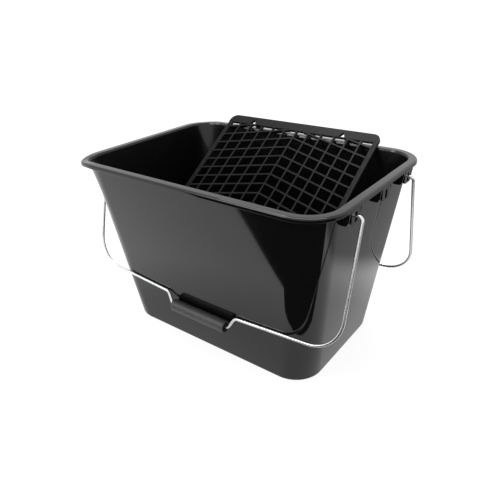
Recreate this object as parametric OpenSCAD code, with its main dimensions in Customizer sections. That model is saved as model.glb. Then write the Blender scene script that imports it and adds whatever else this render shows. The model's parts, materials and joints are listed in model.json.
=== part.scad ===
// Rectangular wash bucket with a lift-out wringing sieve and two wire bails.
// Millimetres. +Z up, +X along the long side, the front is -Y.
// The origin is the middle of the underside, on the surface the bucket stands on.

/* [Bucket] */
// Outside length over the rim
rim_l = 400; // [360:5:440]
// Outside width over the rim
rim_w = 283; // [260:1:300]
// Height from the floor to the top of the rim
body_h = 254; // [235:1:275]
// Outside corner radius of the rim
rim_r = 48.5; // [40:0.5:60]
// Outside length of the base
base_l = 321; // [300:1:340]
// Outside width of the base
base_w = 203; // [190:1:215]
// Outside corner radius of the base
base_r = 40; // [30:1:50]
// Wall and floor thickness
wall = 2.6; // [2:0.1:3.5]

/* [Rim] */
// Width of the flat land on top of the rim
land_w = 11.4; // [10.5:0.1:13]
// Height of the rim's edge, which turns down from the land
skirt_h = 5.5; // [4:0.1:7]
// Thickness of the land and its turned edge
rim_t = 2.4; // [2:0.1:3]
// Radius of the pouring channels in the two left corners
spout_r = 30; // [25:1:36]
// Depth of the pouring channels below the land
spout_dip = 4; // [2:0.5:6]

/* [Base] */
// Height of the foot ribs under the floor
foot_h = 2.5; // [1.5:0.5:4]
// Width of the foot ribs
foot_w = 8; // [5:1:12]

/* [Ears] */
// Distance of the outer ears from the middle of the short side
ear_y = 74; // [66:1:80]
// Offset of the spare ear from the middle of the short side, to the rear
spare_y = 5; // [0:1:8]
// Height of the bail pivots above the floor
pivot_z = 240.5; // [239:0.1:241]
// Distance between the outer faces of an ear's two ribs
ear_w = 30; // [29:1:36]
// Width of the tongue that carries the bail
tongue_w = 21; // [18:1:21]
// Thickness of the ribs and the tongue
ear_t = 2.4; // [2:0.1:3]
// Width of the slot in the tongue
slot_w = 6; // [5:0.5:8]

/* [Bails] */
// Diameter of the bail wire
wire_d = 4; // [3:0.5:4.5]
// Distance of each leg from the middle of the bucket
leg_x = 206.5; // [205.5:0.5:214]
// Reach from the pivots to the lowered corner of the bail
corner_s = 160; // [154:0.5:162]
// Reach from the pivots to the middle of the grip
grip_s = 185; // [180:0.5:186]
// Lean of a resting bail away from the upright, in degrees
rest_lean = 13.9; // [13.8:0.1:18]
// Sideways play that the front bail has taken up in its ears
front_shift = 1.2; // [0:0.1:1.2]

/* [Grips] */
// Length of each grip
grip_l = 94; // [80:1:94]
// Outside diameter of each grip
grip_d = 17; // [14:0.5:17]

/* [Sieve] */
// Slope of the sieve below the level
sieve_slope = 33.2; // [30:0.2:35]
// Width over the side rails
sieve_w = 266; // [250:2:270]
// Reach of the sieve down the slope, from the rim
sieve_l = 288; // [260:1:288]
// Thickness of the sieve
sieve_t = 4; // [3:0.5:5]
// Height of the top band along the slope
band_h = 15.4; // [12:0.2:16]
// Width of the side rails
rail_w = 8; // [6:0.5:10]
// Width of the bars between the holes
bar_w = 2.6; // [2.2:0.2:4]
// Rise of each row from a side rail to the middle
chevron = 33; // [20:1:40]
// Distance between rows, along the slope
row_pitch = 18.2; // [16:0.2:20]

/* [Hidden] */
$fn = 64;

BLACK = [0.10, 0.10, 0.11];
SATIN = [0.16, 0.16, 0.17];
ZINC = [0.86, 0.87, 0.88];
GRIP = [0.14, 0.14, 0.15];

eps = 0.01;
// The wall is this far in from the rim at the height of the turned edge
wall_inset = 9.9;
// Bevel on the outer edge of the land, as a step in and down
edge_in = 1.1;
edge_drop = 1.6;
skirt_z = body_h - skirt_h;
lean_l = (rim_l / 2 - wall_inset - base_l / 2) / skirt_z;
lean_w = (rim_w / 2 - wall_inset - base_w / 2) / skirt_z;
top_l = base_l + 2 * lean_l * body_h;
top_w = base_w + 2 * lean_w * body_h;
top_r = rim_r - (rim_l - top_l) / 2;
floor_z = foot_h + wall;

// Ears: they stand a little inside the rim's face, from low_z up into the land
ear_x = rim_l / 2 - 0.4;
low_z = pivot_z - 8;
ear_top = body_h - 1;
tongue_corner = 4;
slot_low = pivot_z - 3.5;
slot_high = pivot_z + 2.5;

// Sieve frame: its top face crosses the rim's inner edge at this point
sieve_y = rim_w / 2 - 10.8;
sieve_z = body_h + 6;
half_run = (sieve_w - rail_w) / 2;
columns = 6;
col_pitch = half_run / columns;
first_row = 11.1;
rows = 18;
hook_x = 80;
hook_w = 14;
hook_seat = 0.4;
hook_gap = 0.5;
hook_lip = 2.8;
hook_drop = 9;
// Small notch beside each hook, in the lower edge of the band
notch_w = 7;
notch_h = 9;

// Outline of a rounded rectangle
module round_rect(l, w, r) {
  square([l - 2 * r, w], center = true);
  square([l, w - 2 * r], center = true);
  for (sx = [-1, 1]) {
    for (sy = [-1, 1]) {
      translate([sx * (l / 2 - r), sy * (w / 2 - r)]) circle(r);
    }
  }
}

// Straight-sided rounded block from z0 up to z1
module block(l, w, r, z0, z1) {
  translate([0, 0, z0]) linear_extrude(z1 - z0) round_rect(l, w, r);
}

// Tapered body, made smaller all round by the inset
module taper(inset, z0, z1) {
  hull() {
    for (z = [z0, z1]) {
      k = z / body_h;
      l = base_l + (top_l - base_l) * k - 2 * inset;
      w = base_w + (top_w - base_w) * k - 2 * inset;
      r = base_r + (top_r - base_r) * k - inset;
      for (sx = [-1, 1]) {
        for (sy = [-1, 1]) {
          translate([sx * (l / 2 - r), sy * (w / 2 - r), z]) cylinder(r = r, h = eps, $fn = 40);
        }
      }
    }
  }
}

// Flat land with its turned-down edge
module rim() {
  difference() {
    union() {
      block(rim_l, rim_w, rim_r, skirt_z, body_h - edge_drop);
      block(rim_l - 2 * edge_in, rim_w - 2 * edge_in, rim_r - edge_in, body_h - edge_drop - eps, body_h);
    }
    difference() {
      block(rim_l - 2 * rim_t, rim_w - 2 * rim_t, rim_r - rim_t, skirt_z - 1, body_h - rim_t);
      for (sy = [-1, 1]) spout_bar(sy, spout_r + rim_t);
    }
    block(rim_l - 2 * land_w, rim_w - 2 * land_w, rim_r - land_w, skirt_z - 1, body_h + 1);
  }
}

// Round bar that lies across a left corner of the rim, along its diagonal
module spout_bar(sy, r) {
  translate([-(rim_l / 2 - rim_r), sy * (rim_w / 2 - rim_r), body_h - spout_dip + spout_r])
    rotate([0, 0, sy > 0 ? 135 : 225])
      rotate([0, 90, 0]) cylinder(r = r, h = rim_r + 10, $fn = 96);
}

// Foot ring and crossed ribs under the floor
module foot() {
  difference() {
    block(base_l, base_w, base_r, 0, foot_h + eps);
    block(base_l - 2 * foot_w, base_w - 2 * foot_w, base_r - foot_w, -1, foot_h + 1);
  }
  translate([0, 0, (foot_h + eps) / 2]) {
    cube([base_l - foot_w, foot_w, foot_h + eps], center = true);
    cube([foot_w, base_w - foot_w, foot_h + eps], center = true);
  }
}

// Outline of the tongue, with round lower corners and an upright slot
module tongue_outline() {
  difference() {
    union() {
      translate([-tongue_w / 2, low_z + tongue_corner]) square([tongue_w, ear_top - low_z - tongue_corner]);
      translate([-tongue_w / 2 + tongue_corner, low_z]) square([tongue_w - 2 * tongue_corner, tongue_corner + 1]);
      for (s = [-1, 1]) translate([s * (tongue_w / 2 - tongue_corner), low_z + tongue_corner]) circle(tongue_corner);
    }
    for (z = [slot_low, slot_high]) translate([0, z]) circle(d = slot_w);
    translate([-slot_w / 2, slot_low]) square([slot_w, slot_high - slot_low]);
  }
}

// One ear: two ribs and a slotted tongue, on the +X side at height 0 of Y
module ear() {
  wall_x = base_l / 2 + lean_l * pivot_z - wall;
  knee = [1.5, 4];
  for (s = [-1, 1]) {
    translate([0, s * (ear_w - ear_t) / 2 + ear_t / 2, 0])
      rotate([90, 0, 0])
        linear_extrude(ear_t)
          polygon([[wall_x, low_z], [ear_x - knee[1], low_z], [ear_x - knee[0], low_z + knee[1]],
                   [ear_x, pivot_z + 7], [ear_x, ear_top], [wall_x, ear_top]]);
  }
  translate([ear_x - ear_t, 0, 0])
    rotate([90, 0, 90])
      linear_extrude(ear_t) tongue_outline();
}

// Six ears, three on each short side
module ears() {
  for (y = [-ear_y, spare_y, ear_y]) {
    translate([0, y, 0]) ear();
    mirror([1, 0, 0]) translate([0, y, 0]) ear();
  }
}

module bucket() {
  color(BLACK) {
    difference() {
      union() {
        taper(0, foot_h, body_h - eps);
        rim();
        ears();
      }
      taper(wall, floor_z, body_h + 1);
      for (sy = [-1, 1]) spout_bar(sy, spout_r);
    }
    foot();
  }
}

// Unit vector from p to q
function along(p, q) = (q - p) / norm(q - p);

// Length that a bend of radius r takes off both sides of its corner
function tangent(p, q, s, r) = r * tan(acos(along(p, q) * along(q, s)) / 2);

// The straight runs reach this far into the bends, which are this much thicker
bend_lap = 0.1;
bend_swell = 0.03;

// Round wire through corner points in one plane, with a bend radius at each inner corner
module bent_wire(pts, radii, d) {
  last = len(pts) - 1;
  cut = [for (i = [0:last]) (i == 0 || i == last) ? 0 : tangent(pts[i - 1], pts[i], pts[i + 1], radii[i])];
  for (i = [0:last - 1]) {
    dir = along(pts[i], pts[i + 1]);
    into = [for (k = [i, i + 1]) (k == 0 || k == last) ? 0 : bend_lap];
    run = norm(pts[i + 1] - pts[i]) - cut[i] - cut[i + 1] + into[0] + into[1];
    start = pts[i] + dir * (cut[i] - into[0]);
    translate([start[0], start[1], 0])
      rotate([0, 0, atan2(dir[1], dir[0])])
        rotate([0, 90, 0]) cylinder(d = d, h = run);
  }
  for (i = [1:last - 1]) {
    a = along(pts[i - 1], pts[i]);
    b = along(pts[i], pts[i + 1]);
    side = a[0] * b[1] - a[1] * b[0] > 0 ? 1 : -1;
    middle = pts[i] - a * cut[i] + side * radii[i] * [-a[1], a[0]];
    turn = acos(a * b);
    from = atan2(a[1], a[0]) - side * 90;
    translate([middle[0], middle[1], 0])
      rotate([0, 0, side > 0 ? from : from - turn])
        rotate_extrude(angle = turn) translate([radii[i], 0]) circle(d = d + bend_swell);
  }
}

// The wire's hooked end hangs here, midway between the wall and the tongue
tail_x = 193.6;

// Half of a bail's corner points, from the hooked end in the ear to the grip: [x, reach]
half_bail = [[tail_x, 6.5], [tail_x, 0], [leg_x, 0], [leg_x, corner_s], [60, 168.5], [50, grip_s]];
half_bend = [0, 3, 5, 42, 8, 6];

// One bail, hanging straight down from its pivots on the X axis
module bail() {
  n = len(half_bail) - 1;
  right = [for (p = half_bail) [p[0], -p[1]]];
  left = [for (i = [n:-1:0]) [-half_bail[i][0], -half_bail[i][1]]];
  bends = [for (i = [n:-1:0]) half_bend[i]];
  color(ZINC)
    rotate([90, 0, 0])
      bent_wire(concat(right, left), concat(half_bend, bends), wire_d);
}

// One grip: a tube on the wire, counterbored at both ends
module grip() {
  bore_play = 0.7;
  mouth_d = grip_d - 5;
  mouth_depth = 5;
  color(GRIP)
    translate([0, 0, -grip_s])
      rotate([0, 90, 0])
        difference() {
          translate([0, 0, -grip_l / 2]) cylinder(d = grip_d, h = grip_l);
          translate([0, 0, -grip_l]) cylinder(d = wire_d + bore_play, h = 2 * grip_l);
          for (s = [-1, 1]) translate([0, 0, s * grip_l / 2 - mouth_depth]) cylinder(d = mouth_d, h = 2 * mouth_depth);
        }
}

// Places a bail or a grip at its resting lean; side is -1 at the front and 1 at the rear
module hung(side) {
  translate([0, side * ear_y, pivot_z]) rotate([side * rest_lean, 0, 0]) children();
}

module front_bail() {
  translate([front_shift, 0, 0]) hung(-1) bail();
}

module rear_bail() {
  hung(1) bail();
}

module front_grip() {
  translate([front_shift, 0, 0]) hung(-1) grip();
}

module rear_grip() {
  hung(1) grip();
}

// Holes of one half of the sieve, as rows that rise towards the middle
module sieve_holes() {
  gap = bar_w / 2;
  rise = chevron / half_run;
  for (c = [0:columns - 1]) {
    x0 = c * col_pitch + gap;
    x1 = (c + 1) * col_pitch - gap;
    // The outermost hole stops at the side rail
    x2 = c == columns - 1 ? half_run - rail_w / 2 : x1;
    for (r = [0:rows - 1]) {
      y0 = chevron - first_row - (r - 1) * row_pitch - gap;
      y1 = y0 - row_pitch + 2 * gap;
      polygon([[x0, y0 - x0 * rise], [x2, y0 - x2 * rise], [x2, y1 - x2 * rise], [x0, y1 - x0 * rise]]);
    }
  }
}

// Flat outline of the sieve: a band with round corners at the top, and the frame below it
module sieve_outline() {
  corner = 12;
  translate([-sieve_w / 2, -sieve_l]) square([sieve_w, sieve_l + band_h - corner]);
  translate([-sieve_w / 2 + corner, 0]) square([sieve_w - 2 * corner, band_h]);
  for (s = [-1, 1]) translate([s * (sieve_w / 2 - corner), band_h - corner]) circle(corner);
}

// Hook that sits on the rim and laps its outside, drawn in the Y-Z plane
module hook() {
  seat_z = body_h + hook_seat;
  back_y = rim_w / 2 + hook_gap;
  rotate([90, 0, 90])
    linear_extrude(hook_w, center = true)
      polygon([[sieve_y + 1, seat_z], [back_y, seat_z], [back_y, seat_z - hook_drop],
               [back_y + hook_lip, seat_z - hook_drop], [back_y + hook_lip, seat_z + 10.4],
               [sieve_y + 4, seat_z + 3.4]]);
}

module sieve() {
  low_rail = 8;
  color(SATIN) {
    translate([0, sieve_y, sieve_z])
      rotate([sieve_slope, 0, 0])
        translate([0, 0, -sieve_t])
          linear_extrude(sieve_t)
            difference() {
              sieve_outline();
              intersection() {
                translate([-sieve_w / 2, -sieve_l + low_rail]) square([sieve_w, sieve_l - low_rail]);
                union() {
                  sieve_holes();
                  mirror([1, 0]) sieve_holes();
                }
              }
              for (s = [-1, 1]) {
                translate([s * (hook_x + hook_w / 2 + 1), -1]) mirror([s > 0 ? 0 : 1, 0]) square([notch_w, notch_h]);
              }
            }
    for (s = [-1, 1]) translate([s * hook_x, 0, 0]) hook();
  }
}

bucket();
sieve();
front_bail();
rear_bail();
front_grip();
rear_grip();
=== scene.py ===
"""Looks of the rectangular wash bucket: glossy shell, wringing sieve, two wire bails and their grips.

Every size is in metres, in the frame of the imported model: +Z up, the front is -Y, and the origin is the
middle of the underside. Each sub-assembly is a class that builds its meshes and dresses them.
"""

import json
import logging
import math
from collections.abc import Iterable
from dataclasses import dataclass, field
from enum import Enum

import bmesh
import bpy
from bmesh.types import BMEdge, BMesh, BMFace, BMVert
from mathutils import Matrix, Vector

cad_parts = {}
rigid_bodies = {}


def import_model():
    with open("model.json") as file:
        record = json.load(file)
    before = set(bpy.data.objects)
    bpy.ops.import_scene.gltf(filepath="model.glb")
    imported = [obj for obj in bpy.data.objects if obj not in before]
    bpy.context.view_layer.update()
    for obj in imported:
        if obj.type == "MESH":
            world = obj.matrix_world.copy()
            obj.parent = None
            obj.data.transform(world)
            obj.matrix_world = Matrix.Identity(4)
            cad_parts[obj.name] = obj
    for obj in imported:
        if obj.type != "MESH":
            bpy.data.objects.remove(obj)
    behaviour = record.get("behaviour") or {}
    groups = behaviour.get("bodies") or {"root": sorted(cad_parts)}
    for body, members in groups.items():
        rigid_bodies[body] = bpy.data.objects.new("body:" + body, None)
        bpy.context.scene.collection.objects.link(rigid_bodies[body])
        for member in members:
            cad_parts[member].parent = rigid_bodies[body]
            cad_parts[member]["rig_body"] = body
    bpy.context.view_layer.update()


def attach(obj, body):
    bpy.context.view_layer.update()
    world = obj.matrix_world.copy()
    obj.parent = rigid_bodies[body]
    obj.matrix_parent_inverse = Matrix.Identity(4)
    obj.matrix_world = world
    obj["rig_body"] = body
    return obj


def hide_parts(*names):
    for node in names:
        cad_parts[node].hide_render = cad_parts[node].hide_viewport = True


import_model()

MM = 0.001
TINY = 0.001 * MM
INSIDE = "inside"
LOG = logging.getLogger("wash_bucket")
FRONT_SHIFT = 1.2 * MM
MERGE_WITHIN = 0.004 * MM
LEAST_EDGE = 0.002 * MM

MOTTLE_SCALE = 42.0
SCUFF_TURN = (0.3, 0.5, 0.8)
SCUFF_STRETCH = (1.0, 14.0, 6.0)
SCUFF_PATCH_SCALE = 9.0
SCUFF_SHARPNESS = 6.0
SCUFF_GAIN = 60.0

Material = bpy.types.Material
Piece = bpy.types.Object
Socket = bpy.types.NodeSocket
Tree = bpy.types.NodeTree
Point = tuple[float, float]


class Side(Enum):
    """Which long side a bail belongs to: its sign along Y."""

    FRONT = -1
    REAR = 1


# Shader groups and finishes --------------------------------------------


def group_socket(tree: Tree, name: str, way: str, kind: str, value: float | None = None) -> None:
    """Adds one named socket to a shader node group.

    Args:
        tree: the group's node tree.
        name: the socket's name.
        way: "INPUT" or "OUTPUT".
        kind: "Float" or "Vector".
        value: the default of a float input.
    """
    socket = tree.interface.new_socket(name=name, in_out=way, socket_type=f"NodeSocket{kind}")
    if value is not None:
        socket.default_value = value


def noise(tree: Tree, vector: Socket, detail: float) -> bpy.types.Node:
    """Adds a noise texture that reads the vector.

    Args:
        tree: where the node goes.
        vector: the socket with the coordinates.
        detail: how many octaves the noise has.

    Returns:
        The noise node.
    """
    node = tree.nodes.new("ShaderNodeTexNoise")
    node.inputs["Detail"].default_value = detail
    tree.links.new(vector, node.inputs["Vector"])
    return node


def maths(tree: Tree, operation: str, *values: Socket | float) -> Socket:
    """Adds a math node.

    Args:
        tree: where the node goes.
        operation: the node's operation, such as "MULTIPLY".
        values: its inputs, each a socket or a number.

    Returns:
        The node's output socket.
    """
    node = tree.nodes.new("ShaderNodeMath")
    node.operation = operation
    for slot, value in zip(node.inputs, values):
        if isinstance(value, Socket):
            tree.links.new(value, slot)
        else:
            slot.default_value = value
    return node.outputs[0]


def mould_skin_group() -> Tree:
    """Builds the skin of a moulded part: a fine peel over slow waves, and a patchy change of gloss.

    Returns:
        The node group, with Height and Mottle outputs.
    """
    tree = bpy.data.node_groups.new("mould_skin", "ShaderNodeTree")
    group_socket(tree, "Vector", "INPUT", "Vector")
    group_socket(tree, "Peel Scale", "INPUT", "Float", 900.0)
    group_socket(tree, "Wave Scale", "INPUT", "Float", 18.0)
    group_socket(tree, "Peel Share", "INPUT", "Float", 0.2)
    group_socket(tree, "Height", "OUTPUT", "Float")
    group_socket(tree, "Mottle", "OUTPUT", "Float")
    source = tree.nodes.new("NodeGroupInput")
    sink = tree.nodes.new("NodeGroupOutput")
    peel = noise(tree, source.outputs["Vector"], 2.0)
    wave = noise(tree, source.outputs["Vector"], 1.0)
    patch = noise(tree, source.outputs["Vector"], 4.0)
    tree.links.new(source.outputs["Peel Scale"], peel.inputs["Scale"])
    tree.links.new(source.outputs["Wave Scale"], wave.inputs["Scale"])
    patch.inputs["Scale"].default_value = MOTTLE_SCALE
    fine = maths(tree, "MULTIPLY", peel.outputs["Fac"], source.outputs["Peel Share"])
    tree.links.new(maths(tree, "ADD", fine, wave.outputs["Fac"]), sink.inputs["Height"])
    tree.links.new(patch.outputs["Fac"], sink.inputs["Mottle"])
    return tree


def scuff_group() -> Tree:
    """Builds fine rubbing marks: thin stretched streaks that come and go in patches.

    Returns:
        The node group, with one Scuffs output from 0 to 1.
    """
    tree = bpy.data.node_groups.new("scuff_marks", "ShaderNodeTree")
    group_socket(tree, "Vector", "INPUT", "Vector")
    group_socket(tree, "Streak Scale", "INPUT", "Float", 120.0)
    group_socket(tree, "Amount", "INPUT", "Float", 0.5)
    group_socket(tree, "Scuffs", "OUTPUT", "Float")
    source = tree.nodes.new("NodeGroupInput")
    sink = tree.nodes.new("NodeGroupOutput")
    stretch = tree.nodes.new("ShaderNodeMapping")
    stretch.inputs["Rotation"].default_value = SCUFF_TURN
    stretch.inputs["Scale"].default_value = SCUFF_STRETCH
    tree.links.new(source.outputs["Vector"], stretch.inputs["Vector"])
    streak = noise(tree, stretch.outputs["Vector"], 3.0)
    tree.links.new(source.outputs["Streak Scale"], streak.inputs["Scale"])
    patch = noise(tree, source.outputs["Vector"], 2.0)
    patch.inputs["Scale"].default_value = SCUFF_PATCH_SCALE
    thin = maths(tree, "POWER", streak.outputs["Fac"], SCUFF_SHARPNESS)
    both = maths(tree, "MULTIPLY", thin, maths(tree, "POWER", patch.outputs["Fac"], 2.0))
    strength = maths(tree, "MULTIPLY", both, source.outputs["Amount"])
    clamp = tree.nodes.new("ShaderNodeClamp")
    tree.links.new(maths(tree, "MULTIPLY", strength, SCUFF_GAIN), clamp.inputs["Value"])
    tree.links.new(clamp.outputs["Result"], sink.inputs["Scuffs"])
    return tree


@dataclass(frozen=True)
class Finish:
    """One material: a base colour and gloss, with a moulded or drawn skin and light handling marks."""

    name: str
    colour: tuple[float, float, float]
    worn_colour: tuple[float, float, float]
    roughness: float
    roughness_spread: float
    metallic: float = 0.0
    ior: float = 1.5
    specular: float = 0.5
    peel_scale: float = 900.0
    wave_scale: float = 18.0
    peel_share: float = 0.2
    bump: float = 0.1
    bump_depth: float = 0.0004
    scuff_scale: float = 120.0
    scuffs: float = 0.5
    inside_haze: float = 0.0

    def material(self, skin: Tree, marks: Tree) -> Material:
        """Builds the material.

        Args:
            skin: the group from mould_skin_group.
            marks: the group from scuff_group.

        Returns:
            The new material.
        """
        material = bpy.data.materials.new(self.name)
        material.use_nodes = True
        tree = material.node_tree
        shader = tree.nodes["Principled BSDF"]
        shader.inputs["Metallic"].default_value = self.metallic
        shader.inputs["IOR"].default_value = self.ior
        shader.inputs["Specular IOR Level"].default_value = self.specular
        place = tree.nodes.new("ShaderNodeTexCoord").outputs["Object"]

        surface = tree.nodes.new("ShaderNodeGroup")
        surface.node_tree = skin
        surface.inputs["Peel Scale"].default_value = self.peel_scale
        surface.inputs["Wave Scale"].default_value = self.wave_scale
        surface.inputs["Peel Share"].default_value = self.peel_share
        tree.links.new(place, surface.inputs["Vector"])
        rubbed = tree.nodes.new("ShaderNodeGroup")
        rubbed.node_tree = marks
        rubbed.inputs["Streak Scale"].default_value = self.scuff_scale
        rubbed.inputs["Amount"].default_value = self.scuffs
        tree.links.new(place, rubbed.inputs["Vector"])

        tint = tree.nodes.new("ShaderNodeMix")
        tint.data_type = "RGBA"
        tint.inputs["A"].default_value = (*self.colour, 1.0)
        tint.inputs["B"].default_value = (*self.worn_colour, 1.0)
        tree.links.new(rubbed.outputs["Scuffs"], tint.inputs["Factor"])
        tree.links.new(tint.outputs["Result"], shader.inputs["Base Color"])

        spread = maths(tree, "MULTIPLY_ADD", surface.outputs["Mottle"], self.roughness_spread,
                       self.roughness - self.roughness_spread / 2)
        rough = maths(tree, "MULTIPLY_ADD", rubbed.outputs["Scuffs"], self.roughness_spread * 2, spread)
        if self.inside_haze:
            inside = tree.nodes.new("ShaderNodeAttribute")
            inside.attribute_name = INSIDE
            rough = maths(tree, "MULTIPLY_ADD", inside.outputs["Fac"], self.inside_haze, rough)
        tree.links.new(rough, shader.inputs["Roughness"])

        bump = tree.nodes.new("ShaderNodeBump")
        bump.inputs["Strength"].default_value = self.bump
        bump.inputs["Distance"].default_value = self.bump_depth
        tree.links.new(surface.outputs["Height"], bump.inputs["Height"])
        tree.links.new(bump.outputs["Normal"], shader.inputs["Normal"])
        return material


class Finishes:
    """The four finishes of the object, built once and handed to every sub-assembly."""

    def __init__(self) -> None:
        """Builds the shared shader groups and the materials."""
        skin, marks = mould_skin_group(), scuff_group()
        self.shell = Finish(
            "glossy_black_shell", (0.0025, 0.0025, 0.0026), (0.010, 0.010, 0.010), 0.055, 0.02, ior=1.46,
            peel_scale=700.0, wave_scale=11.0, peel_share=0.02, bump=0.06, scuffs=0.2, inside_haze=0.16,
        ).material(skin, marks)
        self.sieve = Finish(
            "satin_black_sieve", (0.004, 0.004, 0.0043), (0.014, 0.014, 0.014), 0.34, 0.10, specular=0.12,
            peel_scale=1500.0, wave_scale=40.0, peel_share=0.6, bump=0.25, scuffs=0.6,
        ).material(skin, marks)
        self.wire = Finish(
            "bright_zinc_wire", (0.80, 0.81, 0.82), (0.55, 0.56, 0.58), 0.20, 0.12, metallic=1.0,
            peel_scale=1800.0, wave_scale=160.0, peel_share=0.8, bump=0.12, scuff_scale=260.0, scuffs=0.7,
        ).material(skin, marks)
        self.grip = Finish(
            "satin_black_grip", (0.022, 0.022, 0.023), (0.05, 0.05, 0.05), 0.38, 0.12,
            peel_scale=2200.0, wave_scale=60.0, peel_share=0.7, bump=0.20, scuffs=0.8,
        ).material(skin, marks)


# Mesh helpers ----------------------------------------------------------


def new_piece(name: str, mesh: BMesh, material: Material, smooth_below: float = 35.0) -> Piece:
    """Turns a finished bmesh into an object at the origin, with smooth faces and crisp corners.

    Args:
        name: the piece's name.
        mesh: its shape, in the frame of the model. It is freed.
        material: what it is made of.
        smooth_below: edges that turn less than this, in degrees, are shaded smooth.

    Returns:
        The new object.
    """
    bmesh.ops.remove_doubles(mesh, verts=mesh.verts, dist=MERGE_WITHIN)
    bmesh.ops.dissolve_degenerate(mesh, edges=mesh.edges, dist=LEAST_EDGE)
    bmesh.ops.recalc_face_normals(mesh, faces=mesh.faces)
    for face in mesh.faces:
        face.smooth = True
    limit = math.radians(smooth_below)
    for edge in mesh.edges:
        edge.smooth = len(edge.link_faces) == 2 and edge.calc_face_angle(0.0) < limit
    data = bpy.data.meshes.new(name)
    mesh.to_mesh(data)
    mesh.free()
    data.materials.append(material)
    piece = bpy.data.objects.new(name, data)
    bpy.context.scene.collection.objects.link(piece)
    flats = piece.modifiers.new("even_flats", "WEIGHTED_NORMAL")
    flats.keep_sharp = True
    LOG.info("%s: %d faces", name, len(data.polygons))
    return piece


def grow(mesh: BMesh, ring: list[BMVert], places: Iterable[Vector]) -> list[BMVert]:
    """Extrudes a closed ring of vertices and moves the new ring to its places.

    Args:
        mesh: the mesh that holds the ring.
        ring: its vertices, in order.
        places: where each new vertex goes, in the same order.

    Returns:
        The new ring, in the same order.
    """
    count = len(ring)
    edges = [mesh.edges.get((ring[i], ring[(i + 1) % count])) for i in range(count)]
    made = bmesh.ops.extrude_edge_only(mesh, edges=edges)["geom"]
    fresh = set(only(made, BMVert))
    following = [next(e.other_vert(v) for e in v.link_edges if e.other_vert(v) in fresh) for v in ring]
    for vert, place in zip(following, places):
        vert.co = place
    return following


def only(geometry: Iterable[BMVert | BMEdge | BMFace], kind: type) -> list[BMVert | BMEdge | BMFace]:
    """Picks the vertices, edges or faces out of an operator's result."""
    return [part for part in geometry if isinstance(part, kind)]


def edges_of(parts: Iterable[BMVert | BMFace], where: str) -> list[BMEdge]:
    """Lists each edge of some vertices ("link_edges") or faces ("edges") once, in a steady order."""
    return list(dict.fromkeys(edge for part in parts for edge in getattr(part, where)))


def everything(mesh: BMesh) -> list[BMVert | BMEdge | BMFace]:
    """All the vertices, edges and faces of a mesh."""
    return [*mesh.verts, *mesh.edges, *mesh.faces]


def bevel(mesh: BMesh, edges: list[BMEdge], offset: float, segments: int = 2, clamp: bool = False) -> None:
    """Rounds some edges.

    Args:
        mesh: the mesh that they belong to.
        edges: the edges.
        offset: how far the round starts from the edge.
        segments: how many steps it has.
        clamp: whether it stops short of its neighbours.
    """
    bmesh.ops.bevel(mesh, geom=edges, offset=offset, segments=segments, profile=0.5, affect="EDGES",
                    material=-1, clamp_overlap=clamp)


def add_twin(mesh: BMesh) -> None:
    """Adds a mirrored twin of a mesh across the plane X = 0."""
    twin = bmesh.ops.duplicate(mesh, geom=everything(mesh))["geom"]
    bmesh.ops.scale(mesh, verts=only(twin, BMVert), vec=Vector((-1, 1, 1)))


def bar(mesh: BMesh, low: Vector, high: Vector, round_by: float, segments: int = 2) -> None:
    """Adds a box with bevelled edges.

    Args:
        mesh: where it goes.
        low: its lowest corner.
        high: its highest corner.
        round_by: the radius of its edges.
        segments: how many steps the bevel has.
    """
    size, middle = high - low, (high + low) / 2
    place = Matrix.Translation(middle) @ Matrix.Diagonal((*size, 1.0))
    verts = bmesh.ops.create_cube(mesh, size=1.0, matrix=place)["verts"]
    bevel(mesh, edges_of(verts, "link_edges"), round_by, segments)


def plate(mesh: BMesh, outline: list[Vector], thickness: Vector, round_by: float) -> None:
    """Adds a flat plate from its outline, with bevelled rims.

    Args:
        mesh: where it goes.
        outline: the corners of one face, in order.
        thickness: the vector from that face to the other one.
        round_by: the radius of the edges around both faces.
    """
    face = mesh.faces.new([mesh.verts.new(p) for p in outline])
    made = bmesh.ops.extrude_face_region(mesh, geom=[face], use_keep_orig=True)["geom"]
    bmesh.ops.translate(mesh, verts=only(made, BMVert), vec=thickness)
    bevel(mesh, edges_of([face] + only(made, BMFace), "edges"), round_by)


def arc(middle: Point, radius: float, start: float, end: float, steps: int) -> list[Point]:
    """Points along an arc, both ends included.

    Args:
        middle: the arc's centre.
        radius: its radius.
        start: the angle that it starts at, in degrees.
        end: the angle that it ends at, in degrees.
        steps: how many chords it has.

    Returns:
        The points.
    """
    turns = [math.radians(start + (end - start) * i / steps) for i in range(steps + 1)]
    return [(middle[0] + radius * math.cos(t), middle[1] + radius * math.sin(t)) for t in turns]


# Bucket shell ----------------------------------------------------------


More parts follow.
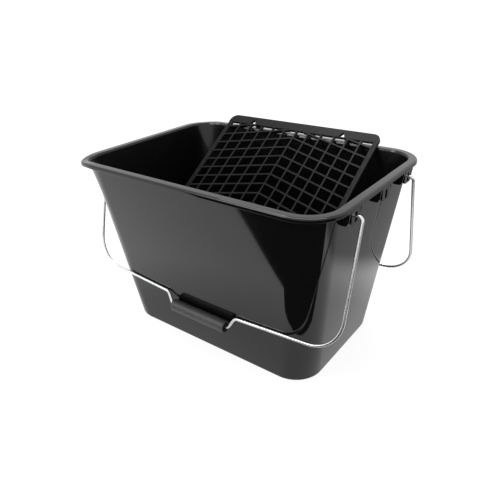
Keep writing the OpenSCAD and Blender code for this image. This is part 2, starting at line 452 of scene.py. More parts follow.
@dataclass
class Shell:
    """The bucket moulding: tapered walls, floor, rim land with its skirt, pouring corners, ears and foot."""

    finishes: Finishes
    rim_half_l: float = 0.200
    rim_half_w: float = 0.1415
    rim_radius: float = 48.5 * MM
    height: float = 0.254
    base_half_l: float = 160.5 * MM
    base_half_w: float = 101.5 * MM
    base_radius: float = 40 * MM
    wall: float = 2.6 * MM
    wall_inset: float = 9.9 * MM
    land: float = 11.4 * MM
    skirt: float = 5.5 * MM
    skirt_wall: float = 2.4 * MM
    rim_fillet: float = 1.8 * MM
    edge_fillet: float = 0.7 * MM
    bead_drop: float = 0.5 * MM
    bead_width: float = 2.2 * MM
    bead_rise: float = 0.3
    bead_before: float = 0.3 * MM
    bead_after: float = 0.5 * MM
    land_middle: float = 0.6
    lip_fillet: float = 1.2 * MM
    lip_depth: float = 2.6 * MM
    land_root: float = 2 * MM
    edge_root_in: float = 1 * MM
    edge_root_down: float = 0.6 * MM
    foot_rib: float = 8 * MM
    foot_height: float = 2.5 * MM
    foot_round: float = 2.2 * MM
    soft: float = 0.5 * MM
    hold: float = 0.5 * MM
    climb: int = 12
    floor_fillet: float = 7 * MM
    bow: float = 1.6 * MM
    bow_fullness: float = 0.8
    spout_dip: float = 1.6 * MM
    spout_flare: float = 4.4 * MM
    spout_reach: float = 60 * MM
    spout_span: float = 0.8
    spout_fade: float = 1.6
    spout_inside: float = 1.2
    corner_steps: int = 14
    side_steps: int = 10
    ear_y: float = 74 * MM
    spare_y: float = 5 * MM
    ear_half_w: float = 15 * MM
    pivot_z: float = 240.5 * MM
    tongue_half_w: float = 10.5 * MM
    slot_half_w: float = 3 * MM
    slot_low: float = 237 * MM
    slot_high: float = 243 * MM
    ear_low: float = 232.5 * MM
    ear_in: float = 0.4 * MM
    ear_lap: float = 1.2 * MM
    ear_under_rim: float = 1.6 * MM
    ear_full_over_pivot: float = 7 * MM
    ear_chin: tuple[Point, ...] = ((4.5 * MM, 0.0), (2.6 * MM, 1.2 * MM), (1.4 * MM, 4 * MM))
    tongue_corner: float = 4 * MM

    @property
    def skirt_z(self) -> float:
        """Height of the skirt's lower edge."""
        return self.height - self.skirt

    def wall_at(self, z: float, inset: float) -> tuple[float, float, float]:
        """Half length, half width and corner radius of the tapered wall.

        Args:
            z: the height.
            inset: how far inside the outer face.

        Returns:
            The three sizes.
        """
        lean_l = (self.rim_half_l - self.wall_inset - self.base_half_l) / self.skirt_z
        lean_w = (self.rim_half_w - self.wall_inset - self.base_half_w) / self.skirt_z
        top_r = self.rim_radius - (self.rim_half_l - self.base_half_l - lean_l * self.height)
        radius = self.base_radius + (top_r - self.base_radius) * z / self.height
        return self.base_half_l + lean_l * z - inset, self.base_half_w + lean_w * z - inset, radius - inset

    def rim_at(self, inset: float) -> tuple[float, float, float]:
        """Half length, half width and corner radius of the rim, at an inset from its outer face."""
        return self.rim_half_l - inset, self.rim_half_w - inset, self.rim_radius - inset

    def section(self, sizes: tuple[float, float, float], z: float, spout: float, bow: float) -> list[Vector]:
        """Places of one ring of vertices round the bucket.

        Args:
            sizes: half length, half width and corner radius.
            z: its height.
            spout: how far the pouring corners push it outwards.
            bow: how far the middles of the sides bulge.

        Returns:
            The places, counter-clockwise from the +X end of the rear side.
        """
        half_l, half_w, radius = sizes
        sink = self.spout_dip * min(1.0, spout / self.spout_flare) if z > self.skirt_z - MM else 0.0
        corners = [(1, 1), (-1, 1), (-1, -1), (1, -1)]
        places = []
        for number, (sx, sy) in enumerate(corners):
            middle = Vector((sx * (half_l - radius), sy * (half_w - radius), z))
            for step in range(self.corner_steps + 1):
                part = step / self.corner_steps
                turn = math.radians(90 * (number + part))
                out = Vector((math.cos(turn), math.sin(turn), 0))
                place = middle + out * radius
                if sx < 0:
                    share = math.cos(math.pi * min(1.0, abs(part - 0.5) * 2 / self.spout_span) / 2) ** 2
                    place += out * spout * share - Vector((0, 0, sink * share))
                places.append(place)
            ahead = corners[(number + 1) % 4]
            goal = Vector((ahead[0] * (half_l - radius), ahead[1] * (half_w - radius), z))
            turn = math.radians(90 * (number + 1))
            out = Vector((round(math.cos(turn)), round(math.sin(turn)), 0))
            for step in range(1, self.side_steps):
                part = step / self.side_steps
                bulge = bow * (1 - (2 * part - 1) ** 2)
                places.append(middle.lerp(goal, part) + out * (radius + bulge))
        return places

    def channel(self, z: float) -> float:
        """How far the pouring channel pushes a wall outwards at a height."""
        share = max(0.0, 1 - (self.height - z) / self.spout_reach)
        return self.spout_flare * share ** self.spout_fade

    def wall_bow(self, z: float) -> float:
        """How far the middles of the sides bulge at a height."""
        return self.bow * math.sin(math.pi * min(1.0, z / self.skirt_z)) ** self.bow_fullness

    def profile(self) -> list[list[Vector]]:
        """Every ring of the moulding, from the underside, up the outside, over the rim and down the inside.

        Returns:
            The rings, each a list of places.
        """
        rings = []

        def at_wall(z: float, inset: float) -> None:
            """Adds a ring that follows the tapered wall."""
            rings.append(self.section(self.wall_at(z, inset), z, self.channel(z), self.wall_bow(z)))

        def at_rim(z: float, inset: float, spout: float) -> None:
            """Adds a ring that follows the rim."""
            rings.append(self.section(self.rim_at(inset), z, spout, 0.0))

        soft, foot, climb, hold = self.soft, self.foot_round, self.climb, self.hold
        at_wall(self.foot_height, self.foot_rib)
        at_wall(soft, self.foot_rib)
        at_wall(0.0, self.foot_rib - soft)
        at_wall(0.0, foot)
        for inset, z in arc((foot, foot), foot, 270, 180, 4)[1:]:
            at_wall(z, inset)
        under_land = self.height - self.skirt_wall
        low, high = foot + hold, under_land - self.land_root - hold
        for step in range(climb + 1):
            at_wall(low + (high - low) * step / climb, 0.0)
        at_wall(high + hold, 0.0)
        wall_gap = self.rim_half_l - self.wall_at(under_land, 0.0)[0]
        spout = self.spout_flare
        at_rim(under_land, wall_gap - self.land_root, spout)
        at_rim(under_land, self.skirt_wall + self.edge_root_in, spout)
        at_rim(under_land - self.edge_root_down, self.skirt_wall, spout)
        edge = self.edge_fillet
        at_rim(self.skirt_z + edge, self.skirt_wall, spout)
        for inset, z in arc((self.skirt_wall - edge, self.skirt_z + edge), edge, 0, -90, 3)[1:]:
            at_rim(z, inset, spout)
        for inset, z in arc((edge, self.skirt_z + edge), edge, 270, 180, 4):
            at_rim(z, inset, spout)
        crown = self.rim_fillet
        for inset, z in arc((crown, self.height - self.bead_drop - crown), crown, 180, 96, 6):
            at_rim(z, inset, spout)
        at_rim(self.height - self.bead_drop * self.bead_rise, self.bead_width - self.bead_before, spout)
        at_rim(self.height, self.bead_width + self.bead_after, spout)
        at_rim(self.height, self.land * self.land_middle, spout)
        lip = self.lip_fillet
        for inset, z in arc((self.land - lip, self.height - lip), lip, 90, 0, 4):
            at_rim(z, inset, spout * self.spout_inside)
        top = self.foot_height + self.wall
        radius = self.floor_fillet
        high, low = self.height - self.lip_depth, top + radius + hold
        spout = self.channel(high) * self.spout_inside
        rings.append(self.section(self.wall_at(high, self.wall), high, spout, 0.0))
        high -= hold
        for step in range(climb + 1):
            z = high + (low - high) * step / climb
            spout = self.channel(z) * self.spout_inside
            rings.append(self.section(self.wall_at(z, self.wall), z, spout, self.wall_bow(z)))
        for inset, z in arc((radius, top + radius), radius, 180, 270, 5)[1:]:
            at_wall(z, self.wall + inset)
        at_wall(top, self.wall + radius + hold)
        at_wall(top, self.wall + radius * 2)
        return rings

    def body(self) -> Piece:
        """Builds the moulding as one closed skin.

        Returns:
            The piece.
        """
        mesh = bmesh.new()
        hazy = mesh.verts.layers.float.new(INSIDE)
        rings = self.profile()
        ring = bmesh.ops.create_circle(mesh, segments=len(rings[0]), radius=1.0, cap_ends=False)["verts"]
        for vert, place in zip(ring, rings[0]):
            vert.co = place
        first = list(ring)
        lip = max(number for number, places in enumerate(rings) if places[0].z > self.height - TINY)
        for number, places in enumerate(rings[1:], 1):
            ring = grow(mesh, ring, places)
            for vert in ring:
                vert[hazy] = 1.0 if number > lip + 2 else 0.0
        mesh.faces.new(first)
        mesh.faces.new(ring)
        self.underside(mesh)
        return new_piece("bucket_shell", mesh, self.finishes.shell)

    def underside(self, mesh: BMesh) -> None:
        """Adds the crossed ribs under the floor.

        Args:
            mesh: where they go.
        """
        half, lap = self.foot_rib / 2, 1 * MM
        top = self.foot_height + lap
        for reach_x, reach_y in ((self.base_half_l - half, half), (half, self.base_half_w - half)):
            bar(mesh, Vector((-reach_x, -reach_y, 0)), Vector((reach_x, reach_y, top)), self.soft)

    def ear(self, mesh: BMesh, y: float) -> None:
        """Adds one ear on the +X side: two ribs and a slotted tongue.

        Args:
            mesh: where it goes.
            y: where its middle is.
        """
        out_x = self.rim_half_l - self.ear_in
        wall_x = self.wall_at(self.pivot_z, 0.0)[0] - self.ear_lap
        low, top, thick = self.ear_low, self.height - self.ear_under_rim, self.skirt_wall
        chin = [(out_x - back, low + up) for back, up in self.ear_chin]
        full = (out_x, self.pivot_z + self.ear_full_over_pivot)
        side = [(wall_x, low), *chin, full, (out_x, top), (wall_x, top)]
        for sign in (-1, 1):
            at = y + sign * self.ear_half_w - (thick if sign > 0 else 0)
            plate(mesh, [Vector((x, at, z)) for x, z in side], Vector((0, thick, 0)), self.soft)
        self.tongue(mesh, y, out_x, top)

    def tongue(self, mesh: BMesh, y: float, out_x: float, top: float) -> None:
        """Adds the slotted tongue of an ear, from two facing halves.

        Args:
            mesh: where it goes.
            y: the middle of the ear.
            out_x: its outer face.
            top: its upper edge, inside the rim.
        """
        low, thick, corner, slot = self.ear_low, self.skirt_wall, self.tongue_corner, self.slot_half_w
        half = [(0.0, low)]
        half += arc((self.tongue_half_w - corner, low + corner), corner, -90, 0, 5)
        half += [(self.tongue_half_w, top), (0.0, top)]
        half += arc((0.0, self.slot_high), slot, 90, 0, 6)
        half += arc((0.0, self.slot_low), slot, 0, -90, 6)
        for sign in (-1, 1):
            outline = [Vector((out_x, y + sign * across, z)) for across, z in half]
            face = mesh.faces.new([mesh.verts.new(p) for p in outline])
            made = bmesh.ops.extrude_face_region(mesh, geom=[face], use_keep_orig=True)["geom"]
            bmesh.ops.translate(mesh, verts=only(made, BMVert), vec=Vector((-thick, 0, 0)))
            middle = [f for f in mesh.faces if all(abs(v.co.y - y) < TINY for v in f.verts)
                      and all(abs(v.co.x - out_x) < thick + TINY for v in f.verts)]
            bmesh.ops.delete(mesh, geom=middle, context="FACES_ONLY")

    def ears(self) -> Piece:
        """Builds the six ears as one piece.

        Returns:
            The piece.
        """
        mesh = bmesh.new()
        for y in (-self.ear_y, self.spare_y, self.ear_y):
            self.ear(mesh, y)
        bmesh.ops.remove_doubles(mesh, verts=mesh.verts, dist=TINY)
        add_twin(mesh)
        return new_piece("bucket_ears", mesh, self.finishes.shell)

    def build(self) -> list[Piece]:
        """Returns:
            The pieces.
        """
        shell, ears = self.body(), self.ears()
        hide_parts("bucket")
        for piece in (shell, ears):
            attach(piece, "bucket")
        return [shell, ears]


# Sieve -----------------------------------------------------------------


@dataclass
class Sieve:
    """The flat wringing grid with its chevron mesh, rails, top band and two hooks."""

    finishes: Finishes
    rim_half_w: float = 0.1415
    rim_height: float = 0.254
    slope: float = 33.2
    rise_over_rim: float = 6 * MM
    edge_inset: float = 10.8 * MM
    half_w: float = 133 * MM
    length: float = 288 * MM
    thick: float = 4 * MM
    band: float = 15.4 * MM
    rail: float = 8 * MM
    mesh_bar: float = 2.6 * MM
    columns: int = 6
    row_pitch: float = 18.2 * MM
    first_row: float = 11.1 * MM
    rows: int = 19
    chevron: float = 33 * MM
    corner: float = 12 * MM
    hook_x: float = 80 * MM
    hook_w: float = 7 * MM
    hole_w: float = 10 * MM
    hole_h: float = 8.5 * MM
    hole_low: float = 1.5 * MM
    lap: float = 1 * MM
    least_cell: float = 4 * MM
    mesh_round: float = 0.7 * MM
    rail_proud: float = 0.5 * MM
    rail_round: float = 1.2 * MM
    band_round: float = 0.8 * MM
    seat_gap: float = 0.4 * MM
    hook_lap: float = 1 * MM
    hook_back: float = 0.5 * MM
    hook_lip: float = 2.8 * MM
    hook_drop: float = 9 * MM
    hook_rise: float = 9.6 * MM
    hook_web: float = 3 * MM
    hook_round: float = 0.5 * MM

    @property
    def placement(self) -> Matrix:
        """From the sieve's own plane, with Y up the slope and Z out of its top face, to the model."""
        origin = Vector((0, self.rim_half_w - self.edge_inset, self.rim_height + self.rise_over_rim))
        return Matrix.Translation(origin) @ Matrix.Rotation(math.radians(self.slope), 4, "X")

    def grid(self, mesh: BMesh) -> None:
        """Adds the mesh of bars: a chevron grid whose cells are inset and opened.

        Args:
            mesh: where it goes, still empty.
        """
        half_run = self.half_w - self.rail / 2
        size_y = self.rows * self.row_pitch
        made = bmesh.ops.create_grid(mesh, x_segments=2 * self.columns, y_segments=self.rows, size=0.5)
        top = self.chevron - self.first_row + self.row_pitch
        for vert in made["verts"]:
            x, y = vert.co.x * 2 * half_run, top + (vert.co.y - 0.5) * size_y
            vert.co = Vector((x, y - abs(x) / half_run * self.chevron, 0))
        for edge_y, outward in ((self.lap, 1), (-self.length + self.rail - self.lap, -1)):
            bmesh.ops.bisect_plane(mesh, geom=everything(mesh), plane_co=Vector((0, edge_y, 0)),
                                   plane_no=Vector((0, outward, 0)), clear_outer=True)
        cells = [f for f in mesh.faces if f.calc_area() > self.least_cell ** 2]
        bmesh.ops.inset_individual(mesh, faces=cells, thickness=self.mesh_bar / 2, use_even_offset=True)
        bmesh.ops.delete(mesh, geom=cells, context="FACES_ONLY")
        made = bmesh.ops.extrude_face_region(mesh, geom=list(mesh.faces), use_keep_orig=True)["geom"]
        bmesh.ops.translate(mesh, verts=only(made, BMVert), vec=Vector((0, 0, -self.thick)))
        bmesh.ops.recalc_face_normals(mesh, faces=mesh.faces)
        bevel(mesh, self.sharp(mesh.edges, 35), self.mesh_round, clamp=True)

    @staticmethod
    def sharp(edges: Iterable[BMEdge], least: float) -> list[BMEdge]:
        """Picks the edges between two faces that turn more than an angle in degrees."""
        return [e for e in edges if len(e.link_faces) == 2 and e.calc_face_angle(0.0) > math.radians(least)]

    def frame_bars(self, mesh: BMesh) -> None:
        """Adds the side rails, the lower rail and the top band.

        Args:
            mesh: where they go.
        """
        inner, under = self.half_w - self.rail, -self.thick - self.rail_proud
        for low_x, high_x, top in ((-self.half_w, -inner, 2 * self.lap), (inner, self.half_w, 2 * self.lap),
                                   (-self.half_w, self.half_w, -self.length + self.rail)):
            bar(mesh, Vector((low_x, -self.length, under)), Vector((high_x, top, 0)), self.rail_round, 3)
        self.top_band(mesh)

    def top_band(self, mesh: BMesh) -> None:
        """Adds the solid band with its round corners and a three-cornered hole beside each hook.

        Args:
            mesh: where it goes.
        """
        reach, half_hole = self.half_w - self.corner, self.hole_w / 2
        outline = [(-self.half_w, 0.0), (self.half_w, 0.0)]
        outline += arc((reach, self.band - self.corner), self.corner, 0, 90, 8)
        outline += arc((-reach, self.band - self.corner), self.corner, 90, 180, 8)
        edges = self.loop(mesh, outline)
        for sign in (-1, 1):
            tip, low = sign * self.hook_x - half_hole, self.hole_low
            hole = [(tip - half_hole, low), (tip + half_hole, low), (tip, low + self.hole_h)]
            edges += self.loop(mesh, hole)
        made = bmesh.ops.triangle_fill(mesh, use_beauty=True, use_dissolve=False, edges=edges)["geom"]
        faces = only(made, BMFace)
        walls = bmesh.ops.extrude_face_region(mesh, geom=faces, use_keep_orig=True)["geom"]
        bmesh.ops.translate(mesh, verts=only(walls, BMVert), vec=Vector((0, 0, -self.thick)))
        around = edges_of(faces + only(walls, BMFace), "edges")
        bmesh.ops.recalc_face_normals(mesh, faces=mesh.faces)
        bevel(mesh, self.sharp(around, 60), self.band_round, 3, clamp=True)

    @staticmethod
    def loop(mesh: BMesh, outline: list[Point]) -> list[BMEdge]:
        """Adds a closed loop of edges in the sieve's plane.

        Args:
            mesh: where it goes.
            outline: its corners, in order.

        Returns:
            Its edges.
        """
        verts = [mesh.verts.new((x, y, 0)) for x, y in outline]
        return [mesh.edges.new((verts[i - 1], verts[i])) for i in range(len(verts))]

    def hooks(self, mesh: BMesh) -> None:
        """Adds the two hooks in the model's own frame: a seat on the rim and a lip behind it.

        Args:
            mesh: where they go.
        """
        seat = self.rim_height + self.seat_gap
        front = self.rim_half_w - self.edge_inset + self.hook_lap
        back = self.rim_half_w + self.hook_back
        out, low = back + self.hook_lip, seat - self.hook_drop
        side = [(front, seat), (back, seat), (back, low), (out, low), (out, seat + self.hook_rise),
                (front + self.hook_web, seat + self.hook_web)]
        for sign in (-1, 1):
            outline = [Vector((sign * self.hook_x, y, z)) for y, z in side]
            plate(mesh, outline, Vector((self.hook_w, 0, 0)), self.hook_round)

    def build(self) -> list[Piece]:
        """Returns:
            The pieces.
        """
        mesh = bmesh.new()
        self.grid(mesh)
        self.frame_bars(mesh)
        bmesh.ops.transform(mesh, matrix=self.placement, verts=mesh.verts)
        self.hooks(mesh)
        piece = new_piece("wringing_sieve", mesh, self.finishes.sieve)
        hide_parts("sieve")
        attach(piece, "sieve")
        return [piece]


# Bails and grips -------------------------------------------------------


@dataclass
class Bail:
    """One wire bail and the tube grip on it, resting against its long side."""

    finishes: Finishes
    side: Side
    pivot_y: float = 74 * MM
    pivot_z: float = 240.5 * MM
    lean: float = 13.9
    wire_r: float = 2 * MM
    grip_reach: float = 185 * MM
    shift: float = 0.0
    grip_half_l: float = 47 * MM
    grip_r: float = 8.5 * MM
    bore_r: float = 2.35 * MM
    mouth_r: float = 6 * MM
    mouth_depth: float = 5 * MM
    mouth_round: float = 0.5 * MM
    grip_lip: float = 1.1 * MM
    line_height: float = 0.15 * MM
    line_half_w: float = 0.45 * MM
    line_round: float = 0.1 * MM
    line_lap: float = 1 * MM
    line_short: float = 1.4 * MM
    cut_round: float = 0.6 * MM
    wire_sides: int = 20
    bend_step: float = 7.0
    least_steps: int = 4
    grip_sides: int = 40
    seam_gap: float = 0.01 * MM
    corners: list[tuple[float, float, float]] = field(default_factory=lambda: [
        (193.6 * MM, 6.5 * MM, 0.0), (193.6 * MM, 0.0, 3 * MM), (206.5 * MM, 0.0, 5 * MM),
        (206.5 * MM, 160 * MM, 42 * MM), (60 * MM, 168.5 * MM, 8 * MM), (50 * MM, 185 * MM, 6 * MM),
    ])

    @property
    def name(self) -> str:
        """The side's word in the names of bodies and pieces."""
        return self.side.name.lower()

    @property
    def placement(self) -> Matrix:
        """From a bail that hangs straight down from the origin to where it rests."""
        pivot = Vector((self.shift, self.side.value * self.pivot_y, self.pivot_z))
        return Matrix.Translation(pivot) @ Matrix.Rotation(self.side.value * math.radians(self.lean), 4, "X")

    def wire(self) -> Piece:
        """Bends the wire: a round end is pushed along each straight and spun round each corner.

        Returns:
            The piece.
        """
        right = [(Vector((x, 0, -reach)), bend) for x, reach, bend in self.corners]
        route = right + [(Vector((-p.x, 0, p.z)), bend) for p, bend in reversed(right)]
        mesh = bmesh.new()
        start, ahead = route[0][0], (route[1][0] - route[0][0]).normalized()
        turn = Vector((0, 0, 1)).rotation_difference(ahead).to_matrix().to_4x4()
        made = bmesh.ops.create_circle(mesh, segments=self.wire_sides, radius=self.wire_r, cap_ends=True,
                                       matrix=Matrix.Translation(start) @ turn)
        end = list({f for v in made["verts"] for f in v.link_faces})
        place = start
        for index in range(1, len(route)):
            corner, bend = route[index]
            ahead = (corner - route[index - 1][0]).normalized()
            if index == len(route) - 1:
                self.push(mesh, end, corner - place)
                break
            beyond = (route[index + 1][0] - corner).normalized()
            angle = ahead.angle(beyond)
            cut = bend * math.tan(angle / 2)
            end = self.push(mesh, end, corner - ahead * cut - place)
            axis = ahead.cross(beyond).normalized()
            centre = corner - ahead * cut + axis.cross(ahead) * bend
            steps = max(self.least_steps, round(math.degrees(angle) / self.bend_step))
            spun = bmesh.ops.spin(mesh, geom=end, cent=centre, axis=axis, angle=angle, steps=steps,
                                  use_merge=False)
            end = only(spun["geom_last"], BMFace)
            place = corner + beyond * cut
        self.drop_inner_caps(mesh)
        self.round_ends(mesh)
        bmesh.ops.transform(mesh, matrix=self.placement, verts=mesh.verts)
        return new_piece(f"{self.name}_bail_wire", mesh, self.finishes.wire, 50.0)

    @staticmethod
    def push(mesh: BMesh, end: list[BMFace], by: Vector) -> list[BMFace]:
        """Extrudes the wire's end face along a straight.

        Args:
            mesh: the wire so far.
            end: its end face.
            by: how far and where to.

        Returns:
            The new end face.
        """
        made = bmesh.ops.extrude_face_region(mesh, geom=end)["geom"]
        bmesh.ops.translate(mesh, verts=only(made, BMVert), vec=by)
        return only(made, BMFace)

    @staticmethod
    def drop_inner_caps(mesh: BMesh) -> None:
        """Deletes the round faces that the sweep leaves inside the wire."""
        inner = [f for f in mesh.faces if len(f.verts) > 4 and all(len(e.link_faces) > 2 for e in f.edges)]
        bmesh.ops.delete(mesh, geom=inner, context="FACES_ONLY")

    def round_ends(self, mesh: BMesh) -> None:
        """Rounds the rims of the wire's two cut ends."""
        bevel(mesh, [e for f in mesh.faces if len(f.verts) > 4 for e in f.edges], self.cut_round)

    def grip(self) -> Piece:
        """Turns the grip: a tube with round lips and wide mouths, and a raised parting line on each side.

        Returns:
            The piece.
        """
        lip, end, inner = self.grip_lip, self.grip_half_l, self.grip_half_l - self.mouth_depth
        out = arc((end - lip, self.grip_r - lip), lip, 90, 0, 4)
        mouth = [(end - self.mouth_round, self.mouth_r), (inner, self.mouth_r), (inner, self.bore_r)]
        half = [(0.0, self.grip_r)] + out + mouth + [(0.0, self.bore_r)]
        mesh = bmesh.new()
        verts = [mesh.verts.new((x, 0, r)) for x, r in half]
        edges = [mesh.edges.new(pair) for pair in zip(verts, verts[1:])]
        bmesh.ops.spin(mesh, geom=verts + edges, cent=(0, 0, 0), axis=(1, 0, 0), angle=2 * math.pi,
                       steps=self.grip_sides, use_merge=True)
        add_twin(mesh)
        bmesh.ops.remove_doubles(mesh, verts=mesh.verts, dist=self.seam_gap)
        self.parting_lines(mesh)
        bmesh.ops.translate(mesh, verts=mesh.verts, vec=Vector((0, 0, -self.grip_reach)))
        bmesh.ops.transform(mesh, matrix=self.placement, verts=mesh.verts)
        return new_piece(f"{self.name}_grip_tube", mesh, self.finishes.grip, 40.0)

    def parting_lines(self, mesh: BMesh) -> None:
        """Raises a thin line along both sides of the tube, where its mould parts.

        Args:
            mesh: the tube, round the X axis.
        """
        half, reach = self.line_half_w, self.grip_half_l - self.line_short
        inner, outer = self.grip_r - self.line_lap, self.grip_r + self.line_height
        for sign in (-1, 1):
            low_y, high_y = sorted((sign * inner, sign * outer))
            bar(mesh, Vector((-reach, low_y, -half)), Vector((reach, high_y, half)), self.line_round)

    def build(self) -> list[Piece]:
        """Returns:
            The pieces.
        """
        wire, grip = self.wire(), self.grip()
        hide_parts(f"{self.name}_bail")
        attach(wire, f"{self.name}_bail")
        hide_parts(f"{self.name}_grip")
        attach(grip, f"{self.name}_grip")
        return [wire, grip]


# Studio ----------------------------------------------------------------


@dataclass
class Studio:
    """White floor and surroundings, soft lights, the camera, and what only gloss sees of the floor.

    Gloss sees a glowing sheet in place of the floor, a painted floor reflection with painted shade close to
    the bucket and past its right end, and a dark card before the near corner that paints a dark reflection.
    Each sheen is the start and end of a ramp and its brightness at both.
    """

    azimuth: float = 37.5626
    elevation: float = 27.1584
    roll: float = -1.8109
    distance: float = 749.6 * MM
    aim: tuple[float, float, float] = (-5.2 * MM, 0.0, 115.1 * MM)
    lens: float = 36.703
    film: float = 36.0
    white: float = 1.05
    floor_reach: float = 6.0
    floor_grey: float = 0.2
    floor_glow: float = 0.82
    matt: float = 0.9
    # The floor sheen is a glowing sheet seen only in gloss: a painted floor reflection, with painted shade
    # close to the bucket and past its right end.
    sheen_reach: float = 3.0
    sheen_lift: float = 0.5 * MM
    sheen_squeeze: tuple[float, float, float] = (0.62, 1.0, 1.0)
    painted_sheen_out: tuple[float, float, float, float] = (0.14, 0.28, 0.70, 1.26)
    sheen_along: tuple[float, float, float] = (0.70, 0.71, 0.0)
    painted_sheen_right: tuple[float, float, float, float] = (0.27, 0.35, 1.0, 0.32)
    # The dark card is a sheet seen only in gloss: a painted dark reflection on the walls before the near
    # corner.
    card_lift: float = 1 * MM
    card_grey: float = 0.01
    card_outline: tuple[Point, ...] = (
        (-1.10, -1.13), (-0.144, -0.392), (-0.042, -0.314), (0.050, -0.246), (0.085, -0.212), (0.140, -0.186),
        (0.200, -0.138), (0.245, -0.105), (0.400, -0.065), (0.900, 0.060), (1.60, 0.10), (1.60, -1.60),
        (0.90, -2.20), (-0.50, -2.20),
    )
    lit_point: tuple[float, float, float] = (0.0, 0.0, 0.12)
    lamp_power: float = 9.0

    def camera(self) -> None:
        """Sets the camera that looks along the bucket's front right corner."""
        data = bpy.data.cameras.new("camera")
        data.sensor_width = self.film
        data.lens = self.lens
        camera = bpy.data.objects.new("camera", data)
        bpy.context.scene.collection.objects.link(camera)
        turn, tilt = math.radians(self.azimuth), math.radians(self.elevation)
        back = Vector((math.sin(turn) * math.cos(tilt), -math.cos(turn) * math.cos(tilt), math.sin(tilt)))
        camera.location = Vector(self.aim) + back * self.distance
        facing = (-back).to_track_quat("-Z", "Y").to_matrix()
        camera.rotation_euler = (facing @ Matrix.Rotation(math.radians(self.roll), 3, "Z")).to_euler()
        bpy.context.scene.camera = camera

    def world(self) -> None:
        """Makes the surroundings an even white."""
        world = bpy.data.worlds.new("white_room")
        world.use_nodes = True
        background = world.node_tree.nodes["Background"]
        background.inputs["Color"].default_value = (1, 1, 1, 1)
        background.inputs["Strength"].default_value = self.white
        bpy.context.scene.world = world
        bpy.context.scene.view_settings.view_transform = "Standard"

    def sheet(self, name: str, mesh: BMesh, grey: float, glow: float = 0.0) -> Piece:
        """Lays a matt sheet that belongs to the stage.

        Args:
            name: its name.
            mesh: its shape. It is freed.
            grey: its base colour.
            glow: how strongly it is lit from within.

        Returns:
            The new object.
        """
        data = bpy.data.meshes.new(name)
        mesh.to_mesh(data)
        mesh.free()
        material = bpy.data.materials.new(name)
        material.use_nodes = True
        shader = material.node_tree.nodes["Principled BSDF"]
        shader.inputs["Base Color"].default_value = (grey, grey, grey, 1)
        shader.inputs["Roughness"].default_value = self.matt
        shader.inputs["Specular IOR Level"].default_value = 0.0
        shader.inputs["Emission Color"].default_value = (1, 1, 1, 1)
        shader.inputs["Emission Strength"].default_value = glow
        data.materials.append(material)
        piece = bpy.data.objects.new(name, data)
        bpy.context.scene.collection.objects.link(piece)
        return piece

    @staticmethod
    def only_in_gloss(piece: Piece) -> None:
        """Hides a sheet from everything but reflections."""
        piece.visible_camera = piece.visible_diffuse = piece.visible_shadow = False

    def floor(self) -> None:
        """Lays the pale floor, lit from within so that shadows on it stay faint."""
        mesh = bmesh.new()
        bmesh.ops.create_grid(mesh, x_segments=1, y_segments=1, size=self.floor_reach)
        self.sheet("floor", mesh, self.floor_grey, self.white * self.floor_glow)

    def sheen(self) -> None:
        """Lays the glowing sheet that gloss sees in place of the floor: a painted floor reflection, with
        painted shade close to the bucket and past its right end.
        """
        mesh = bmesh.new()
        bmesh.ops.create_grid(mesh, x_segments=1, y_segments=1, size=self.sheen_reach)
        bmesh.ops.translate(mesh, verts=mesh.verts, vec=Vector((0, 0, self.sheen_lift)))
        piece = self.sheet("floor_sheen", mesh, 0.0)
        self.only_in_gloss(piece)
        tree = piece.data.materials[0].node_tree
        place = tree.nodes.new("ShaderNodeTexCoord").outputs["Object"]
        squeezed = self.vector_node(tree, "MULTIPLY", place, self.sheen_squeeze).outputs["Vector"]
        away = self.vector_node(tree, "LENGTH", squeezed).outputs["Value"]
        along = self.vector_node(tree, "DOT_PRODUCT", place, self.sheen_along).outputs["Value"]
        # Painted shade in the floor reflection: dimmer close to the bucket and past its right end, brighter
        # further out.
        ramps = [self.ramp(tree, away, self.painted_sheen_out), self.ramp(tree, along, self.painted_sheen_right)]
        strength = maths(tree, "MULTIPLY", maths(tree, "MULTIPLY", *ramps), self.white)
        tree.links.new(strength, tree.nodes["Principled BSDF"].inputs["Emission Strength"])

    @staticmethod
    def vector_node(tree: Tree, operation: str, vector: Socket,
                    other: tuple[float, float, float] | None = None) -> bpy.types.Node:
        """Adds a vector math node.

        Args:
            tree: where the node goes.
            operation: what it does.
            vector: its first input.
            other: its second input, where it has one.

        Returns:
            The node.
        """
        node = tree.nodes.new("ShaderNodeVectorMath")
        node.operation = operation
        tree.links.new(vector, node.inputs[0])
        if other is not None:
            node.inputs[1].default_value = other
        return node

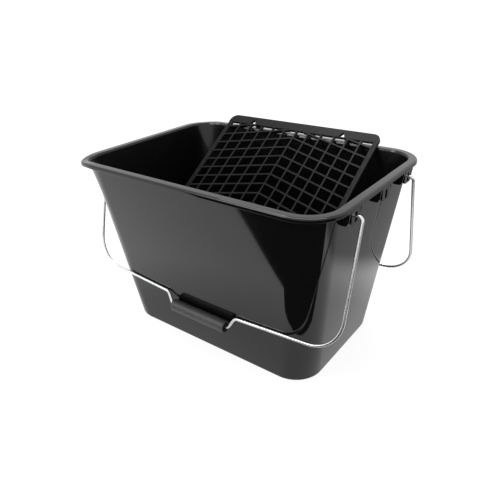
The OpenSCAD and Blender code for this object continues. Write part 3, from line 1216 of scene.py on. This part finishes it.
    @staticmethod
    def ramp(tree: Tree, value: Socket, limits: tuple[float, float, float, float]) -> Socket:
        """Adds a smooth ramp.

        Args:
            tree: where the node goes.
            value: what it reads.
            limits: its start and end, and what it gives at both.

        Returns:
            The node's output socket.
        """
        node = tree.nodes.new("ShaderNodeMapRange")
        node.interpolation_type = "SMOOTHSTEP"
        tree.links.new(value, node.inputs["Value"])
        for socket, amount in zip(("From Min", "From Max", "To Min", "To Max"), limits):
            node.inputs[socket].default_value = amount
        return node.outputs["Result"]

    def card(self) -> None:
        """Lays the dark card in front of the near corner, seen only in the gloss, where it paints a dark
        reflection on the walls.
        """
        mesh = bmesh.new()
        mesh.faces.new([mesh.verts.new((x, y, self.card_lift)) for x, y in self.card_outline])
        self.only_in_gloss(self.sheet("dark_card", mesh, self.card_grey))

    def light(self, name: str, place: tuple[float, float, float], size: Point) -> None:
        """Hangs a soft rectangular light that faces the bucket.

        Args:
            name: its name.
            place: where it is.
            size: its width and height.
        """
        data = bpy.data.lights.new(name, "AREA")
        data.shape = "RECTANGLE"
        data.size, data.size_y = size
        data.energy = self.lamp_power
        lamp = bpy.data.objects.new(name, data)
        lamp.location = place
        lamp.rotation_euler = (Vector(self.lit_point) - Vector(place)).to_track_quat("-Z", "Y").to_euler()
        bpy.context.scene.collection.objects.link(lamp)

    def build(self) -> None:
        """Sets up the camera, the surroundings and the lights."""
        self.camera()
        self.world()
        self.floor()
        self.sheen()
        self.card()
        self.light("overhead_softbox", (-0.3, 0.5, 1.6), (0.9, 0.5))
        self.light("front_softbox", (-0.9, -1.3, 1.3), (0.5, 0.9))


def main() -> None:
    """Builds the studio and every sub-assembly, and reports each piece."""
    logging.basicConfig(level=logging.INFO, format="%(name)s: %(message)s")
    Studio().build()
    finishes = Finishes()
    assemblies = [Shell(finishes), Sieve(finishes), Bail(finishes, Side.FRONT, shift=FRONT_SHIFT),
                  Bail(finishes, Side.REAR)]
    for assembly in assemblies:
        for piece in assembly.build():
            LOG.info("%s rides on %s", piece.name, piece["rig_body"])


if __name__ == "__main__":
    main()
